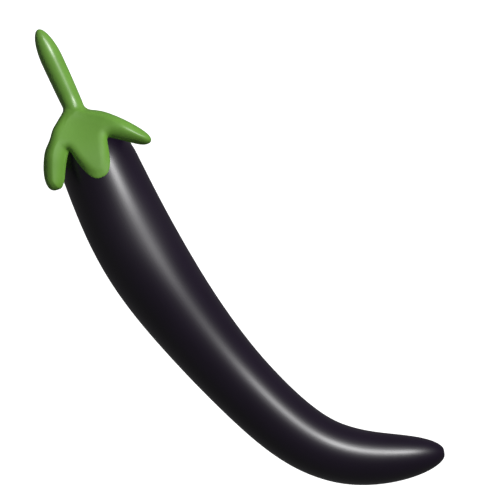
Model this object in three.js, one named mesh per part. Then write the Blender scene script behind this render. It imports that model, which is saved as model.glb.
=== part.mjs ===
// A long curved eggplant, as picked: the fruit, and the green cap that grew in one piece with its stem.
// Millimetres, +Z up. It lies on its side, with the bend of the fruit level with the surface under it.
//
// Fruit and cap are first turned about one straight axis. There y runs along the axis from the stem end of
// the fruit to its blossom end, z points up, and x points to the hollow side of the bend. Both are then bent
// along one spine.

import * as THREE from "three";

// Fruit.
const fruitLength = 284; // along the bent axis
const girth = [18.9, 21.4, 22.6, 19.6, 17.1, 16.6, 14.4, 15.6]; // evenly spaced radii that steer its profile
const shoulderLength = 27.5; // rounding of the stem end, under the cap
const tipLength = 58; // rounding of the blossom end
const bellyFlat = 0.5; // depth of the flat that the fruit rests on

// Cap: five lobes around the stem, wrapped over the fruit's shoulder. Azimuths run in degrees from the top
// to the hollow side of the bend, and reaches are measured along the skin from the stem's axis.
const capGap = 0.4; // between the fruit's skin and the underside of the cap
const capThickness = 4.3;
const capEdge = 1.2; // height of the rim's middle above the underside
const notchReach = 25; // to the notches between the lobes
const lobes = [
  { midline: -1.5, notch: 33, reach: 43.5, lift: 2.1, taper: 2.7 }, // on top
  { midline: 67, notch: 106, reach: 36.5, lift: 8.5, taper: 1.9 }, // hollow side of the bend
  { midline: 142, notch: 178, reach: 40, lift: 0.4, taper: 2.2 }, // underneath, hollow side
  { midline: 214, notch: 250, reach: 40, lift: 0.2, taper: 2.2 }, // underneath, outer side
  { midline: 305.5, notch: 323, reach: 41, lift: 6.6, taper: 1.5 }, // outer side of the bend
];
const lobeBluntness = 2.8; // 2 is a pointed lobe, more is a blunter one
const liftCurve = 1.6; // how late a lobe turns away from the skin
const outerSide = [0.2, 0.9]; // how far to the outer side of the bend the two next begin, and are complete
const footShift = 2.2; // the cap climbs this much further up the stem on the outer side of the bend
const footFade = { distance: [8, 16], height: [7, 16] }; // where that climb dies away
const shoulderThinning = 1.5; // of the cap beside its foot, on the outer side of the bend
const thinningFade = { start: [7, 10], end: [12, 18] }; // distances where the thinning comes and goes

// Crown: the upper side of the cap, one smooth surface that flows from the stem over the three upper lobes.
const crownFrom = -13; // distance from the fruit's stem end where the stem starts to widen upwards
const crownTo = 24; // distance where the crown has reached its full height
const crownSag = 0.003; // how fast it falls away sideways, with the square of the distance from its middle
const crownRoll = 6; // radius of the rounding down its sides
const crownLeast = 2.2; // thickness of the cap where the crown comes closest to the skin
const crownDepth = 8.5; // from the crown down to the underside of the side lobes
const crownSidesTo = 108; // azimuth below which the cap is wrapped closely around the fruit again

// Stem.
const stemLength = 50.8; // from the fruit's stem end
const stemRadius = 6;
const stemFootRadius = 5.5; // where it leaves the cap
const stemTipLength = 16.6; // rounding of its free end
const stemFillet = 2.4; // between stem and cap
const stemOffset = 6; // the stem stands this much above the middle of the fruit's stem end

// Spine: plan coordinates that steer a smooth curve from the stem's tip to the blossom end.
const spineX = [-0.4, 35, 69.5, 105, 140, 179, 213, 254.5, 282.5, 306.5];
const spineY = [-1.3, -13.1, -25.5, -38.5, -46.5, -50.5, -51.5, -48.5, -31.5, 2];
const shoulderSlant = 0.11; // the stem end stands askew on the spine, lower on the hollow side
const slantReach = 42; // distance from the stem end where the slant has died away
const neckRise = 4.8; // height of the stem end above its place on a level axis
const neckRiseFrom = 100; // distance from the stem end where the neck starts to rise

// Facets.
const fruitSides = 40;
const fruitRings = 56;
const capSides = 100;
const stemRings = 7;
const straightRings = [1, 0.85, 0.7, 0.35]; // places on the straight part of the stem, 1 at its foot
const filletAngles = [90, 60, 30];
const capRings = 9;
const undersideRings = 13;
const rimSharpness = { underside: 12, top: 5 }; // how late the two sides of the cap turn over to the rim
const undersideSpread = 0.8; // below 1 gathers its rings towards the rim

// The smooth curve that evenly spaced numbers steer (a cubic B-spline), at t from 0 to 1.
function smooth(values, t) {
  const ends = [2 * values[0] - values[1], ...values, 2 * values.at(-1) - values.at(-2)];
  const spans = values.length - 1;
  const span = Math.min(Math.floor(t * spans), spans - 1);
  const near = t * spans - span;
  const far = 1 - near;
  const middle = (d) => 3 * d ** 3 - 6 * d ** 2 + 4;
  const weights = [far ** 3, middle(near), middle(far), near ** 3];
  return weights.reduce((sum, weight, i) => sum + weight * ends[span + i], 0) / 6;
}

// 1 before a range, falling smoothly to 0 at its end.
function fade(value, [start, end]) {
  return 1 - THREE.MathUtils.smoothstep(value, start, end);
}

// Radius of the fruit before its ends are rounded off.
function bodyRadius(y) {
  return smooth(girth, THREE.MathUtils.clamp(y / fruitLength, 0, 1));
}

// 1 away from an end, falling to 0 at it along a quarter of an ellipse.
function roundedEnd(distance, length) {
  const share = Math.max(0, 1 - distance / length);
  return Math.sqrt(Math.max(0, 1 - share ** 2));
}

// The fruit's profile from stem end to blossom end: x is the radius, y the distance along the axis.
class Profile extends THREE.Curve {
  getPoint(t, target = new THREE.Vector2()) {
    const y = (fruitLength * (1 - Math.cos(Math.PI * t))) / 2;
    const ends = roundedEnd(y, shoulderLength) * roundedEnd(fruitLength - y, tipLength);
    return target.set(bodyRadius(y) * ends, y);
  }
}

// The bent axis in plan, from the stem's tip to the blossom end.
class Spine extends THREE.Curve {
  getPoint(t, target = new THREE.Vector3()) {
    return target.set(smooth(spineX, t), smooth(spineY, t), 0);
  }
}

const profile = new Profile();
const spine = new Spine();

// Height of the axis above the surface: the belly is level, and the neck and stem rise.
function axisHeight(y) {
  const rise = Math.max(0, 1 - y / neckRiseFrom);
  return bodyRadius(y) - bellyFlat + neckRise * rise ** 2;
}

// Bends a geometry that stands along the straight axis, and flattens it where it meets the surface.
function bend(geometry) {
  const place = geometry.getAttribute("position");
  for (let i = 0; i < place.count; i++) {
    const x = place.getX(i);
    const y = place.getY(i);
    const slant = shoulderSlant * x * fade(Math.abs(y), [0, slantReach]);
    const along = THREE.MathUtils.clamp((stemLength + y + slant) / (stemLength + fruitLength), 0, 1);
    const centre = spine.getPointAt(along);
    const heading = spine.getTangentAt(along);
    const height = axisHeight(y) + place.getZ(i);
    place.setXYZ(i, centre.x - heading.y * x, centre.y + heading.x * x, Math.max(0, height));
  }
  return geometry;
}

function fruitGeometry() {
  const outline = profile.getSpacedPoints(fruitRings);
  outline[0].x = 0;
  outline[fruitRings].x = 0;
  return bend(new THREE.LatheGeometry(outline.reverse(), fruitSides));
}

// The lobe at an azimuth, and how much of it is there: 1 on its midline, 0 in the notches beside it.
function lobeAt(azimuth) {
  const lastNotch = lobes.at(-1).notch;
  const turned = azimuth > lastNotch ? azimuth - 360 : azimuth;
  const index = lobes.findIndex((lobe) => turned <= lobe.notch);
  const lobe = lobes[index];
  const notchBefore = index > 0 ? lobes[index - 1].notch : lastNotch - 360;
  const notch = turned < lobe.midline ? notchBefore : lobe.notch;
  const offset = (turned - lobe.midline) / (notch - lobe.midline);
  return { ...lobe, share: (1 - offset ** lobeBluntness) ** lobe.taper };
}

// The cap and stem as a round disc turned about the axis, from the middle of its underside round the rim
// and over its top to the tip of the stem. A ring has a distance from the axis, a height above the skin,
// and a dome that falls from 1 well inside the rim to 0 on it.
function capRingList() {
  const rings = [];
  for (let i = undersideRings; i > 0; i--) {
    const share = Math.cos((i / undersideRings) * (Math.PI / 2)) ** undersideSpread;
    const dome = Math.sqrt(1 - share ** rimSharpness.underside);
    const distance = i < undersideRings ? notchReach * share : 0;
    rings.push({ part: "underside", distance, height: capGap + capEdge * (1 - dome), dome });
  }
  const sheetFrom = stemFootRadius + stemFillet;
  for (let i = capRings; i > 0; i--) {
    const share = Math.sin((i / capRings) * (Math.PI / 2));
    const dome = Math.sqrt(Math.max(0, 1 - share ** rimSharpness.top));
    const distance = THREE.MathUtils.lerp(sheetFrom, notchReach, share);
    const height = capGap + THREE.MathUtils.lerp(capEdge, capThickness, dome);
    rings.push({ part: "top", distance, height, dome });
  }
  const filletTop = capThickness + capGap + stemFillet;
  for (const angle of filletAngles.map(THREE.MathUtils.degToRad)) {
    const distance = stemFootRadius + stemFillet * (1 - Math.cos(angle));
    const height = filletTop - stemFillet * Math.sin(angle);
    rings.push({ part: "stem", distance, height, dome: 1 });
  }
  const straight = stemLength - stemTipLength - filletTop;
  for (const share of straightRings) {
    const distance = THREE.MathUtils.lerp(stemRadius, stemFootRadius, share ** 2);
    rings.push({ part: "stem", distance, height: filletTop + straight * (1 - share), dome: 1 });
  }
  for (let i = stemRings; i >= 0; i--) {
    const angle = (i / stemRings) * (Math.PI / 2);
    const height = stemLength - stemTipLength * (1 - Math.cos(angle));
    rings.push({ part: "stem", distance: stemRadius * Math.sin(angle), height, dome: 1 });
  }
  return rings;
}

// Wraps a point of the round cap closely around the fruit's shoulder, after the lobe at its azimuth has
// been pulled out: x is the radius, y the distance along the axis.
function wrap(distance, height, azimuth) {
  const collar = stemFootRadius + stemFillet;
  const lobe = lobeAt(azimuth);
  const reach = notchReach + (lobe.reach - notchReach) * lobe.share;
  const outward = Math.max(0, (distance - collar) / (notchReach - collar));
  const along = Math.min(distance, collar) + outward * (reach - collar);
  const skin = profile.getPointAt(along / profile.getLength());
  const slope = profile.getTangentAt(along / profile.getLength());
  const tilt = THREE.MathUtils.smoothstep(along, stemRadius, 2 * collar);
  const normal = new THREE.Vector2(0, -1).lerp(new THREE.Vector2(slope.y, -slope.x), tilt).normalize();
  const lift = lobe.lift * lobe.share * outward ** liftCurve;
  return skin.addScaledVector(normal, height + lift);
}

// Height of the crown over the axis, at x and y.
function crownHeight(x, y, radius) {
  const sideways = x * THREE.MathUtils.smoothstep(y, crownFrom, 0);
  const fromStart = Math.hypot(sideways, Math.max(0, y - crownFrom));
  const rise = THREE.MathUtils.smoothstep(fromStart, 0, crownTo - crownFrom);
  const stemTop = stemOffset + Math.min(radius, stemRadius);
  return THREE.MathUtils.lerp(stemTop, bodyRadius(y) + capThickness, rise) - crownSag * x ** 2 * rise;
}

// How far the crown lifts a point of a ring over the axis. It's rounded down both its sides and the rim.
function liftedHeight(ring, x, y, radius, turn) {
  const crown = crownHeight(x, y, radius);
  const roll = Math.min(radius, crownRoll);
  if (ring.part === "underside") return crown - THREE.MathUtils.lerp(roll, crownDepth, ring.dome);
  const inset = Math.min(1, (radius - Math.abs(x)) / roll);
  const sideDome = turn < 90 ? Math.sqrt(1 - (1 - inset) ** 2) : 0;
  return crown - roll * (1 - sideDome * ring.dome);
}

// The height above the skin at an azimuth: the foot of the stem is askew on the cap.
function skewedHeight(ring, azimuth) {
  const { part, distance, height } = ring;
  if (part === "underside") return height;
  const foot = fade(distance, footFade.distance) * fade(height, footFade.height);
  const shoulder = (1 - fade(distance, thinningFade.start)) * fade(distance, thinningFade.end);
  const outer = 1 - fade(-Math.sin(THREE.MathUtils.degToRad(azimuth)), outerSide);
  return height + outer * (footShift * foot - shoulderThinning * shoulder);
}

// Where a ring's point at an azimuth lies about the straight axis.
function capPoint(ring, azimuth) {
  const angle = THREE.MathUtils.degToRad(azimuth);
  const turn = Math.min(azimuth, 360 - azimuth);
  const wrapped = wrap(ring.distance, skewedHeight(ring, azimuth), azimuth);
  if (ring.distance === 0) return [0, wrapped.y, ring.part === "stem" ? stemOffset : 0];
  const radius = wrapped.x;
  const x = radius * Math.sin(angle);
  const z = radius * Math.cos(angle);
  const lifted = liftedHeight(ring, x, wrapped.y, radius, turn);
  if (turn > 90) {
    const onStem = fade(ring.distance, [stemFootRadius, stemFootRadius + stemFillet]);
    const raised = ring.part === "stem" ? stemOffset * onStem : 0;
    const height = z + raised + Math.max(0, lifted - raised) * fade(turn, [90, crownSidesTo]);
    if (ring.part === "stem") return [x, wrapped.y, height];
    const clear = Math.sqrt(Math.max(0, radius ** 2 - height ** 2)); // keeps it off the fruit
    return [Math.sign(x) * Math.max(Math.abs(x), clear), wrapped.y, height];
  }
  let least = z;
  if (ring.part === "top") {
    const thinHeight = capGap + THREE.MathUtils.lerp(capEdge, crownLeast, ring.dome);
    least = wrap(ring.distance, thinHeight, azimuth).x * Math.cos(angle);
  }
  return [x, wrapped.y, ring.part === "stem" ? lifted : Math.max(least, lifted)];
}

function capGeometry() {
  const rings = capRingList();
  const outline = rings.map((ring) => new THREE.Vector2(ring.distance, ring.height));
  const geometry = new THREE.LatheGeometry(outline, capSides);
  const place = geometry.getAttribute("position");
  for (let i = 0; i < place.count; i++) {
    const side = Math.floor(i / rings.length) % capSides;
    place.setXYZ(i, ...capPoint(rings[i % rings.length], (side / capSides) * 360));
  }
  return bend(geometry);
}

const skin = new THREE.MeshStandardMaterial({ color: 0x231a2b, roughness: 0.3, metalness: 0 });
const green = new THREE.MeshStandardMaterial({ color: 0x6c9e42, roughness: 0.45, metalness: 0 });

const fruit = new THREE.Mesh(fruitGeometry(), skin);
fruit.name = "fruit";
const cap = new THREE.Mesh(capGeometry(), green);
cap.name = "calyx_and_stem";

const eggplant = new THREE.Group();
eggplant.add(fruit, cap);

// The origin is the middle of the footprint, on the surface that the eggplant lies on.
const middle = new THREE.Box3().setFromObject(eggplant).getCenter(new THREE.Vector3());
eggplant.position.set(-middle.x, -middle.y, 0);

export default eggplant;
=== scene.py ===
# A long curved eggplant, lying on its side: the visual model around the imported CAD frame.
# Lengths are in metres. Both pieces are shaped about a straight axis and then bent along one spine.
# About that axis y runs from the stem end of the fruit to its blossom end, z points up, and x points to the
# hollow side of the bend. Azimuths turn from the top towards the hollow side.
import bisect
import math

import bmesh
import bpy
from mathutils import Euler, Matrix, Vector
from mathutils.kdtree import KDTree


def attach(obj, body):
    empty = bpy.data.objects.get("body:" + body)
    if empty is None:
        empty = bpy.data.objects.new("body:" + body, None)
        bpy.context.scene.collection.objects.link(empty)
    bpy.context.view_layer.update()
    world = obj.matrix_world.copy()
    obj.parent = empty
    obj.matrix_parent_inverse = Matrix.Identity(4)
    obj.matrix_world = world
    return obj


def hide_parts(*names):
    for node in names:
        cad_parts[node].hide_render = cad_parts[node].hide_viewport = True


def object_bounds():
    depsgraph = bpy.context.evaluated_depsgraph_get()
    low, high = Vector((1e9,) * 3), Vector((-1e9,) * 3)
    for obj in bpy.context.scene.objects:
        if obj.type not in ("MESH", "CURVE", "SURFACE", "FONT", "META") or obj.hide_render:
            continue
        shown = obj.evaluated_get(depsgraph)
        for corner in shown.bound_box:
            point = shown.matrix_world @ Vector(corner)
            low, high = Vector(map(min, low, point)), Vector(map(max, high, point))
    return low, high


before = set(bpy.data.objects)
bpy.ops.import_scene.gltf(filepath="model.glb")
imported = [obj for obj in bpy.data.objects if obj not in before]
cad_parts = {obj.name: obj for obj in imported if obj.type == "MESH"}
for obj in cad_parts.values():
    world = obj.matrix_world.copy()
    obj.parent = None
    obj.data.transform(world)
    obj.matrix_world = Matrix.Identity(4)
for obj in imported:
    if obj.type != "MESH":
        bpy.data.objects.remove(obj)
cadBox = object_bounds()
print("frame: nodes", sorted(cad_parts))

# Spine: plan coordinates that steer one smooth curve from the stem's tip to the blossom end.
spine = {
    "x": [-0.0004, 0.035, 0.0695, 0.105, 0.140, 0.179, 0.213, 0.2545, 0.2825, 0.3065],
    "y": [-0.0013, -0.0131, -0.0255, -0.0385, -0.0465, -0.0505, -0.0515, -0.0485, -0.0315, 0.002],
    "slant": 0.11,  # the stem end stands askew, lower on the hollow side of the bend
    "slantReach": 0.042,
    "neckRise": 0.0048,  # how much higher the stem end lies than on a level axis
    "neckRiseFrom": 0.1,
    "samples": 800,
}

fruit = {
    "length": 0.284,
    "girth": [0.0189, 0.0214, 0.0226, 0.0196, 0.0171, 0.0166, 0.0144, 0.0156],  # evenly spaced radii
    "shoulder": 0.0275,  # rounding of the stem end
    "tip": 0.058,  # rounding of the blossom end
    "bellyFlat": 0.0005,
    "sides": 144,
    "rings": 300,
    "scarRadius": 0.0021,  # where the flower fell off
    "scarDepth": 0.0005,
}

stem = {
    "length": 0.0508,
    "radius": 0.006,
    "footRadius": 0.0055,
    "tip": 0.0166,  # rounding of the free end
    "fillet": 0.0024,
    "offset": 0.006,  # how far it stands above the middle of the fruit's stem end
    "tipRings": 16,
    "straightRings": 19,
    "filletRings": 6,
}


def clamp(value, low, high):
    return max(low, min(high, value))


def lerp(a, b, share):
    return a + (b - a) * share


def smoothStep(value, low, high):
    share = clamp((value - low) / (high - low), 0, 1)
    return share * share * (3 - 2 * share)


def smoothMax(a, b, width):
    return (a + b + math.hypot(a - b, width)) / 2


def roundedRise(share):
    # climbs a quarter circle from 0 to 1 and stays there
    return math.sqrt(1 - (1 - min(1, share)) ** 2)


def steered(values, t):
    # the smooth curve that evenly spaced numbers steer (a cubic B-spline), at t from 0 to 1
    ends = [2 * values[0] - values[1], *values, 2 * values[-1] - values[-2]]
    spans = len(values) - 1
    span = min(int(t * spans), spans - 1)
    near = t * spans - span
    far = 1 - near
    weights = [far**3, 3 * near**3 - 6 * near**2 + 4, 3 * far**3 - 6 * far**2 + 4, near**3]
    return sum(weight * ends[span + i] for i, weight in enumerate(weights)) / 6


class Track:
    # a plane curve that can be asked for the point and heading at a distance along it
    def __init__(self, pointAt, samples):
        self.points = [pointAt(i / samples) for i in range(samples + 1)]
        self.reached = [0.0]
        for a, b in zip(self.points, self.points[1:]):
            self.reached.append(self.reached[-1] + (b - a).length)
        self.length = self.reached[-1]

    def at(self, distance):
        distance = clamp(distance, 0, self.length)
        i = clamp(bisect.bisect_right(self.reached, distance) - 1, 0, len(self.points) - 2)
        share = (distance - self.reached[i]) / (self.reached[i + 1] - self.reached[i])
        heading = self.headingAt(i).lerp(self.headingAt(i + 1), share)
        return self.points[i].lerp(self.points[i + 1], share), heading.normalized()

    def headingAt(self, i):
        before = self.points[max(i - 1, 0)]
        after = self.points[min(i + 1, len(self.points) - 1)]
        return (after - before).normalized()


def bodyRadius(y):
    return steered(fruit["girth"], clamp(y / fruit["length"], 0, 1))


def skinRadius(y):
    stemEnd = roundedRise(y / fruit["shoulder"])
    blossomEnd = roundedRise((fruit["length"] - y) / fruit["tip"])
    return bodyRadius(y) * stemEnd * blossomEnd


def profilePoint(t):
    y = fruit["length"] * (1 - math.cos(math.pi * t)) / 2
    return Vector((skinRadius(y), y))


def spinePoint(t):
    return Vector((steered(spine["x"], t), steered(spine["y"], t)))


skinTrack = Track(profilePoint, spine["samples"])
spineTrack = Track(spinePoint, spine["samples"])


def axisHeight(y):
    rise = max(0, 1 - y / spine["neckRiseFrom"])
    return bodyRadius(y) - fruit["bellyFlat"] + spine["neckRise"] * rise**2


def bent(x, y, z):
    slant = spine["slant"] * x * (1 - smoothStep(abs(y), 0, spine["slantReach"]))
    total = stem["length"] + fruit["length"]
    centre, heading = spineTrack.at((stem["length"] + y + slant) / total * spineTrack.length)
    height = axisHeight(y) + z
    return Vector((centre.x - heading.y * x, centre.y + heading.x * x, max(0, height)))


def finishedPiece(name, shape, straight):
    # straight: each vertex's place before the bend, kept as an attribute that the patterns follow
    shape.verts.ensure_lookup_table()
    bmesh.ops.recalc_face_normals(shape, faces=shape.faces)
    mesh = bpy.data.meshes.new(name)
    shape.to_mesh(mesh)
    shape.free()
    mesh.shade_smooth()
    kept = mesh.attributes.new("straight", "FLOAT_VECTOR", "POINT")
    kept.data.foreach_set("vector", [c for place in straight for c in place])
    piece = bpy.data.objects.new(name, mesh)
    bpy.context.scene.collection.objects.link(piece)
    return piece


def movedToFrame(pieces):
    # the frame's origin is the middle of the footprint
    corners = [v.co for piece in pieces for v in piece.data.vertices]
    middle = Vector([(min(c[i] for c in corners) + max(c[i] for c in corners)) / 2 for i in (0, 1)] + [0])
    target = (cadBox[0] + cadBox[1]) / 2
    shift = Vector((target.x, target.y, 0)) - middle
    for piece in pieces:
        for v in piece.data.vertices:
            v.co += shift


def makeFruit():
    shape = bmesh.new()
    bmesh.ops.create_uvsphere(shape, u_segments=fruit["sides"], v_segments=fruit["rings"], radius=1)
    straight = []
    for v in shape.verts:
        y = fruit["length"] * (1 - v.co.z) / 2
        azimuth = math.atan2(v.co.x, v.co.y)
        radius = skinRadius(y)
        if y > fruit["length"] / 2:
            y -= fruit["scarDepth"] * math.exp(-((radius / fruit["scarRadius"]) ** 2))
        place = (radius * math.sin(azimuth), y, radius * math.cos(azimuth))
        straight.append(place)
        v.co = bent(*place)
    return finishedPiece("eggplant_fruit", shape, straight)


# The cap is a round disc turned about the axis, whose lobes are pulled out and wrapped over the fruit's
# shoulder. Its upper side is then lifted to one smooth crown, which flows from the stem over the upper lobes.
cap = {
    "gap": 0.00012,
    "thickness": 0.0045,
    "edge": 0.0012,  # height of the rim's middle above the underside
    "notchReach": 0.025,  # along the skin, from the stem's axis
    "bluntness": 2.8,  # 2 is a pointed lobe, more is a blunter one
    "liftCurve": 1.6,  # how late a lobe turns away from the skin
    "rounding": 0.0055,  # width of the rounding along the rim
    "curl": 12,  # how late the underside curls up to the rim
    "roll": 0.006,  # radius of the rounding down the cap's two sides
    "crownFrom": -0.013,  # where the stem starts to widen upwards into the cap
    "crownTo": 0.024,
    "crownSag": 3,  # how fast the crown falls away sideways, per metre
    "crownBlend": 0.0008,  # softness of the change from the crown to the wrapped sheet
    "leastThickness": 0.0022,
    "undersideDepth": 0.0085,  # of the side lobes' underside below the crown
    "sidesTo": 108,  # azimuth where the cap is wrapped closely around the fruit again
    "outerSide": (0.2, 0.9),  # where the two next begin and are complete, towards the outer side
    "footShift": 0.0022,  # the cap climbs this much further up the stem there
    "shoulderThinning": 0.0015,
    "footReach": (0.008, 0.016),  # distances from the stem's axis where the shift dies away
    "footHeights": (0.007, 0.016),
    "thinningStart": (0.007, 0.010),
    "thinningEnd": (0.012, 0.018),
    "lobes": [
        {"midline": -1.5, "notch": 33, "reach": 0.0435, "lift": 0.0021, "taper": 2.7},
        {"midline": 67, "notch": 106, "reach": 0.0365, "lift": 0.0085, "taper": 1.9},
        {"midline": 142, "notch": 178, "reach": 0.040, "lift": 0.0004, "taper": 2.2},
        {"midline": 214, "notch": 250, "reach": 0.040, "lift": 0.0002, "taper": 2.2},
        {"midline": 305.5, "notch": 323, "reach": 0.041, "lift": 0.0066, "taper": 1.5},
    ],
    "sides": 300,
    "topRings": 56,
    "undersideRings": 20,
    "undersideSpread": 0.8,  # below 1 gathers its rings towards the rim
    "rimPoints": 1500,
}


def lobeAt(azimuth):
    # the lobe at an azimuth, and how much of it is there: 1 on its midline, 0 in the notches beside it
    lobes = cap["lobes"]
    if azimuth > lobes[-1]["notch"]:
        azimuth -= 360
    index = next(i for i, lobe in enumerate(lobes) if azimuth <= lobe["notch"])
    lobe = lobes[index]
    before = lobes[index - 1]["notch"] - (360 if index == 0 else 0)
    notch = before if azimuth < lobe["midline"] else lobe["notch"]
    offset = (azimuth - lobe["midline"]) / (notch - lobe["midline"])
    return lobe, (1 - offset ** cap["bluntness"]) ** lobe["taper"]


def stemOutline():
    # distance from the axis and height above the skin, from the stem's tip down to its fillet
    outline = []
    for i in range(stem["tipRings"] + 1):
        angle = i / stem["tipRings"] * math.pi / 2
        height = stem["length"] - stem["tip"] * (1 - math.cos(angle))
        outline.append((stem["radius"] * math.sin(angle), height, "stem"))
    filletTop = cap["thickness"] + cap["gap"] + stem["fillet"]
    straight = stem["length"] - stem["tip"] - filletTop
    for i in range(1, stem["straightRings"] + 1):
        share = i / stem["straightRings"]
        radius = lerp(stem["radius"], stem["footRadius"], share**2)
        outline.append((radius, filletTop + straight * (1 - share), "stem"))
    for i in range(1, stem["filletRings"] + 1):
        angle = i / stem["filletRings"] * math.pi / 2
        out = stem["fillet"] * (1 - math.cos(angle))
        outline.append((stem["footRadius"] + out, filletTop - stem["fillet"] * math.sin(angle), "stem"))
    return outline


def sheetOutline():
    # the same over the cap's top to its rim, and back along its underside to the middle
    outline = []
    sheetFrom = stem["footRadius"] + stem["fillet"]
    for i in range(1, cap["topRings"] + 1):
        share = math.sin(i / cap["topRings"] * math.pi / 2)
        outline.append((lerp(sheetFrom, cap["notchReach"], share), 0, "top"))
    for i in range(1, cap["undersideRings"]):
        share = math.cos(i / cap["undersideRings"] * math.pi / 2) ** cap["undersideSpread"]
        curl = cap["edge"] * (1 - math.sqrt(1 - share ** cap["curl"]))
        outline.append((cap["notchReach"] * share, cap["gap"] + curl, "under"))
    outline.append((0, cap["gap"], "under"))
    return outline


def wrapped(distance, height, angle):
    # a point of the disc, wrapped around the fruit's shoulder after its lobe is pulled out
    lobe, share = lobeAt(math.degrees(angle) % 360)
    collar = stem["footRadius"] + stem["fillet"]
    reach = lerp(cap["notchReach"], lobe["reach"], share)
    outward = max(0, (distance - collar) / (cap["notchReach"] - collar))
    along = min(distance, collar) + outward * (reach - collar)
    skin, slope = skinTrack.at(along)
    tilt = smoothStep(along, stem["radius"], 2 * collar)
    normal = Vector((0, -1)).lerp(Vector((slope.y, -slope.x)), tilt).normalized()
    place = skin + normal * (height + lobe["lift"] * share * outward ** cap["liftCurve"])
    radius = 0 if distance == 0 else place.x
    return Vector((radius * math.sin(angle), place.y, radius * math.cos(angle)))


def rimTree():
    # finds the point of the rim that is nearest to any other point
    tree = KDTree(cap["rimPoints"])
    for i in range(cap["rimPoints"]):
        angle = 2 * math.pi * i / cap["rimPoints"]
        tree.insert(wrapped(cap["notchReach"], cap["gap"] + cap["edge"], angle), i)
    tree.balance()
    return tree


def skewedHeight(distance, height, angle):
    # the foot of the stem is askew on the cap
    outer = smoothStep(-math.sin(angle), *cap["outerSide"])
    nearFoot = 1 - smoothStep(distance, *cap["footReach"])
    height += cap["footShift"] * outer * nearFoot * (1 - smoothStep(height, *cap["footHeights"]))
    shoulder = smoothStep(distance, *cap["thinningStart"]) * (1 - smoothStep(distance, *cap["thinningEnd"]))
    return height - cap["shoulderThinning"] * outer * shoulder


def crownHeight(x, y, radius):
    sideways = x * smoothStep(y, cap["crownFrom"], 0)
    fromStart = math.hypot(sideways, max(0, y - cap["crownFrom"]))
    rise = smoothStep(fromStart, 0, cap["crownTo"] - cap["crownFrom"])
    onStem = stem["offset"] + min(radius, stem["radius"])
    return lerp(onStem, bodyRadius(y) + cap["thickness"], rise) - cap["crownSag"] * x * x * rise


def liftedHeight(side, place, height, angle, rimDome):
    # the crown over a wrapped point, rounded down along its sides and rim
    radius = math.hypot(place.x, place.z)
    roll = min(radius, cap["roll"])
    crown = crownHeight(place.x, place.y, radius)
    if side == "under":
        return crown - lerp(cap["undersideDepth"], roll, (height - cap["gap"]) / cap["edge"])
    if math.cos(angle) <= 0:
        return crown - roll
    toSide = radius * (1 - abs(math.sin(angle)))
    sideDome = roundedRise(toSide / roll) if roll else 1
    return crown - roll * (1 - sideDome * rimDome)


def upperPoint(distance, side, place, lifted, angle, rimDome):
    if side == "stem":
        return Vector((place.x, place.y, lifted))
    least = place.z
    if side == "top":
        thinnest = cap["gap"] + lerp(cap["edge"], cap["leastThickness"], rimDome)
        least = wrapped(distance, thinnest, angle).z
    return Vector((place.x, place.y, smoothMax(least, lifted, cap["crownBlend"])))


def lowerPoint(distance, side, place, lifted, angle):
    # below the middle the crown dies away, and the sheet is pushed out so that it stays off the fruit
    offStem = smoothStep(distance, stem["footRadius"], stem["footRadius"] + stem["fillet"])
    raised = stem["offset"] * (1 - offStem) if side == "stem" else 0
    rest = max(0, lifted - raised) * (1 - smoothStep(abs(math.degrees(angle)), 90, cap["sidesTo"]))
    height = place.z + raised + rest
    if side == "stem":
        return Vector((place.x, place.y, height))
    clear = math.sqrt(max(0, place.x**2 + place.z**2 - height**2))
    return Vector((math.copysign(max(abs(place.x), clear), place.x), place.y, height))


def makeCap():
    outline = stemOutline() + sheetOutline()
    lastRing = len(outline) - 1
    tree = rimTree()
    shape = bmesh.new()
    bmesh.ops.create_uvsphere(shape, u_segments=cap["sides"], v_segments=lastRing, radius=1)
    straight = []
    for v in shape.verts:
        angle = math.atan2(v.co.x, v.co.y)
        distance, height, side = outline[round(math.acos(clamp(v.co.z, -1, 1)) / math.pi * lastRing)]
        rimDome = 1
        if side == "top":
            toRim = tree.find(wrapped(distance, cap["gap"] + cap["edge"], angle))[2]
            rimDome = roundedRise(toRim / cap["rounding"])
            height = cap["gap"] + lerp(cap["edge"], cap["thickness"], rimDome)
        if side != "under":
            height = skewedHeight(distance, height, angle)
        place = wrapped(distance, height, angle)
        lifted = liftedHeight(side, place, height, angle, rimDome)
        if math.cos(angle) > 0:
            place = upperPoint(distance, side, place, lifted, angle, rimDome)
        else:
            place = lowerPoint(distance, side, place, lifted, angle)
        straight.append(tuple(place))
        v.co = bent(*place)
    return finishedPiece("eggplant_cap_and_stem", shape, straight)


class Wire:
    # one socket of a material; arithmetic on it adds Math nodes
    def __init__(self, paint, socket):
        self.paint = paint
        self.socket = socket

    def maths(self, operation, *values):
        return self.paint.node("Math", {"operation": operation}, dict(enumerate((self, *values))))

    def __add__(self, other):
        return self.maths("ADD", other)

    __radd__ = __add__

    def __mul__(self, other):
        return self.maths("MULTIPLY", other)

    __rmul__ = __mul__

    def __sub__(self, other):
        return self.maths("SUBTRACT", other)

    def __truediv__(self, other):
        return self.maths("DIVIDE", other)

    def __rpow__(self, other):
        return self.paint.node("Math", {"operation": "POWER"}, {0: other, 1: self})


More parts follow.
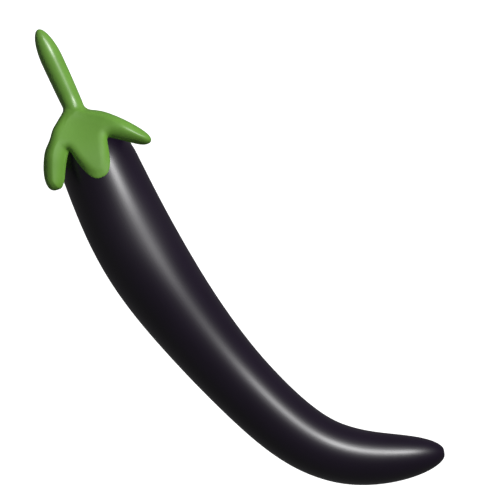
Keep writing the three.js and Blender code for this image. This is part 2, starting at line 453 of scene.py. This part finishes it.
class Paint:
    # a material and the nodes that are added to it
    def __init__(self, name):
        self.material = bpy.data.materials.new(name)
        self.material.use_nodes = True
        self.tree = self.material.node_tree
        self.tree.nodes.clear()

    def node(self, kind, settings=None, inputs=None, output=0):
        made = self.tree.nodes.new("ShaderNode" + kind)
        for name, value in (settings or {}).items():
            if name == "stops":
                for stop, (position, level) in zip(made.color_ramp.elements, value):
                    stop.position = position
                    stop.color = (level, level, level, 1)
            else:
                setattr(made, name, value)
        for name, value in (inputs or {}).items():
            if isinstance(value, Wire):
                self.tree.links.new(value.socket, made.inputs[name])
            else:
                made.inputs[name].default_value = value
        return Wire(self, made.outputs[output]) if made.outputs else None

    def straight(self):
        # each point's place before the bend
        return self.node("Attribute", {"attribute_name": "straight"}, output="Vector")

    def axis(self, name):
        return self.node("SeparateXYZ", inputs={"Vector": self.straight()}, output=name)

    def noise(self, scale, detail):
        place = self.node("Mapping", inputs={"Vector": self.straight(), "Scale": scale})
        return self.node("TexNoise", inputs={"Vector": place, "Scale": 1, "Detail": detail})

    def blend(self, a, b, factor):
        return self.node("Mix", {"data_type": "RGBA"}, {0: factor, 6: a, 7: b}, output=2)

    def mottle(self, a, b, clouds, grain):
        mixed = clouds * 0.6 + grain * 0.4
        return self.blend(a, b, self.node("ValToRGB", {"stops": [(0.35, 0), (0.65, 1)]}, {0: mixed}))

    def bell(self, value, centre, reach):
        # 1 at the centre, dying away on both sides of it
        offset = (value - centre) / reach
        return math.e ** (offset * offset * -1)

    def bump(self, height, strength):
        return self.node("Bump", inputs={"Strength": strength, "Distance": 0.0004, "Height": height})

    def surface(self, inputs):
        shader = self.node("BsdfPrincipled", inputs=inputs)
        self.node("OutputMaterial", inputs={"Surface": shader})
        return self.material


skinFinish = {
    "dark": (0.0054, 0.0019, 0.0096, 1),
    "purple": (0.0074, 0.0030, 0.0128, 1),
    "cloudScale": (60, 30, 60),
    "streakScale": (900, 40, 900),  # fine grain that runs along the fruit
    "bump": 0.03,
    "roughness": 0.36,
    "dulled": 0.11,  # roughness added where the fruit is fullest
    "dullAt": 0.068,
    "dullReach": 0.024,
    "ior": 1.48,
}


def skinMaterial():
    paint = Paint("eggplant_skin")
    streaks = paint.noise(skinFinish["streakScale"], 3)
    clouds = paint.noise(skinFinish["cloudScale"], 2)
    dull = paint.bell(paint.axis("Y"), skinFinish["dullAt"], skinFinish["dullReach"])
    return paint.surface({
        "Base Color": paint.mottle(skinFinish["dark"], skinFinish["purple"], clouds, streaks),
        "Roughness": skinFinish["roughness"] + skinFinish["dulled"] * dull,
        "IOR": skinFinish["ior"],
        "Normal": paint.bump(streaks, skinFinish["bump"]),
    })


greenFinish = {
    "deep": (0.127, 0.30, 0.040, 1),
    "fresh": (0.158, 0.355, 0.054, 1),
    "paleAndPaintedLight": (0.185, 0.43, 0.062, 1),  # around the stem's foot: partly the calyx's own paler tone, partly painted light that brightens the cap's top where its slope turns it from the lamps
    "paleShare": 0.3,
    "paleAt": 0.005,
    "paleReach": 0.011,
    "softWithPaintedShade": (0.112, 0.285, 0.018, 1),  # painted shade: a deeper green over the cap, away from the stem, that offsets the lamps' grey sheen there
    "paintedShadeShare": 0.65,
    "softened": 0.3,  # roughness added there
    "softSlope": 1.2,
    "softFrom": 0.006,
    "softTo": -0.002,
    "cloudScale": (90, 60, 90),
    "fibreScale": (700, 60, 700),
    "bump": 0.08,
    "roughness": 0.35,
    "ior": 1.5,
}


def greenMaterial():
    paint = Paint("eggplant_green")
    fibres = paint.noise(greenFinish["fibreScale"], 4)
    clouds = paint.noise(greenFinish["cloudScale"], 2)
    along = paint.axis("Y")
    colour = paint.mottle(greenFinish["deep"], greenFinish["fresh"], clouds, fibres)
    # painted light, partly real: the stem's foot and the cap's top are blended to a paler green, which also
    # lifts the top where it slopes away from the lamps
    foot = paint.bell(along, greenFinish["paleAt"], greenFinish["paleReach"])
    colour = paint.blend(colour, greenFinish["paleAndPaintedLight"], greenFinish["paleShare"] * foot)
    toShine = paint.axis("X") - along * greenFinish["softSlope"]  # high on the stem and the hollow-side lobe
    softRange = {0: toShine, 1: greenFinish["softFrom"], 2: greenFinish["softTo"]}
    softWithPaintedShade = paint.node("MapRange", {"interpolation_type": "SMOOTHSTEP"}, softRange)
    return paint.surface({
        # painted shade: the matte part of the cap is blended to a deeper green that offsets the lamps' grey
        # sheen
        "Base Color": paint.blend(colour, greenFinish["softWithPaintedShade"], softWithPaintedShade * greenFinish["paintedShadeShare"]),
        "Roughness": greenFinish["roughness"] + softWithPaintedShade * greenFinish["softened"],
        "IOR": greenFinish["ior"],
        "Normal": paint.bump(fibres, greenFinish["bump"]),
    })


fruitPiece = makeFruit()
print("fruit:", len(fruitPiece.data.vertices), "vertices")
capPiece = makeCap()
print("cap and stem:", len(capPiece.data.vertices), "vertices")
movedToFrame([fruitPiece, capPiece])
fruitPiece.data.materials.append(skinMaterial())
capPiece.data.materials.append(greenMaterial())
print("materials: skin and green")

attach(fruitPiece, "root")
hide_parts("fruit")
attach(capPiece, "root")
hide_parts("calyx_and_stem")

studio = {
    "floorSize": 12,
    "floorColour": (0.35, 0.35, 0.35, 1),
    "floorRoughness": 0.9,
    "floorGlow": 1,  # so bright that no shadow shows on it
    "ambient": 0.14,
    "cameraTurn": 46.65,  # degrees about the vertical
    "cameraLens": 400,
    "sensorWidth": 36,
    "frameWidth": 0.2619,
    "aim": (0.0049, 0.0331, 0.02),
    "lightDistance": 1,
    "lightSize": 0.15,
    "lights": [  # azimuth in degrees from +X towards +Y, tilt in degrees off the vertical
        {"name": "key_softbox", "azimuth": 89.8, "tilt": 44, "power": 10.1, "shines": False},
        {"name": "streak_softbox", "azimuth": 89.8, "tilt": 33.5, "power": 8.7, "shines": True},
        {"name": "sheen_softbox", "azimuth": 122, "tilt": 33.5, "power": 3.2, "shines": True},
    ],
}


def makeFloor():
    shape = bmesh.new()
    bmesh.ops.create_grid(shape, x_segments=1, y_segments=1, size=studio["floorSize"] / 2)
    mesh = bpy.data.meshes.new("floor")
    shape.to_mesh(mesh)
    shape.free()
    floor = bpy.data.objects.new("floor", mesh)
    bpy.context.scene.collection.objects.link(floor)
    paint = Paint("floor_white")
    mesh.materials.append(paint.surface({
        "Base Color": studio["floorColour"],
        "Roughness": studio["floorRoughness"],
        "Emission Color": (1, 1, 1, 1),
        "Emission Strength": studio["floorGlow"],
    }))
    floor.visible_glossy = False
    floor.visible_diffuse = False


def makeLight(light):
    # a light either shines, as a highlight only, or lights the surfaces without a highlight
    data = bpy.data.lights.new(light["name"], "AREA")
    data.shape = "DISK"
    data.size = studio["lightSize"]
    data.energy = light["power"]
    data.use_shadow = False
    lamp = bpy.data.objects.new(light["name"], data)
    bpy.context.scene.collection.objects.link(lamp)
    away = Vector((0, 0, studio["lightDistance"]))
    away.rotate(Euler((0, math.radians(light["tilt"]), math.radians(light["azimuth"]))))
    lamp.location = away
    lamp.rotation_euler = away.to_track_quat("Z", "Y").to_euler()
    lamp.visible_camera = False
    lamp.visible_diffuse = not light["shines"]
    lamp.visible_glossy = light["shines"]


def makeWorld():
    world = bpy.data.worlds.new("soft_room")
    world.use_nodes = True
    background = world.node_tree.nodes["Background"]
    background.inputs["Color"].default_value = (1, 1, 1, 1)
    background.inputs["Strength"].default_value = studio["ambient"]
    bpy.context.scene.world = world


def makeCamera():
    data = bpy.data.cameras.new("camera")
    data.lens = studio["cameraLens"]
    data.sensor_width = studio["sensorWidth"]
    camera = bpy.data.objects.new("camera", data)
    bpy.context.scene.collection.objects.link(camera)
    distance = studio["frameWidth"] * data.lens / data.sensor_width
    camera.location = Vector(studio["aim"]) + Vector((0, 0, distance))
    camera.rotation_euler = (0, 0, math.radians(studio["cameraTurn"]))
    data.clip_end = 2 * distance
    bpy.context.scene.camera = camera


makeFloor()
makeWorld()
for light in studio["lights"]:
    makeLight(light)
makeCamera()
scene = bpy.context.scene
scene.view_settings.view_transform = "Standard"
print("studio: floor, lights and camera")

bpy.context.view_layer.update()
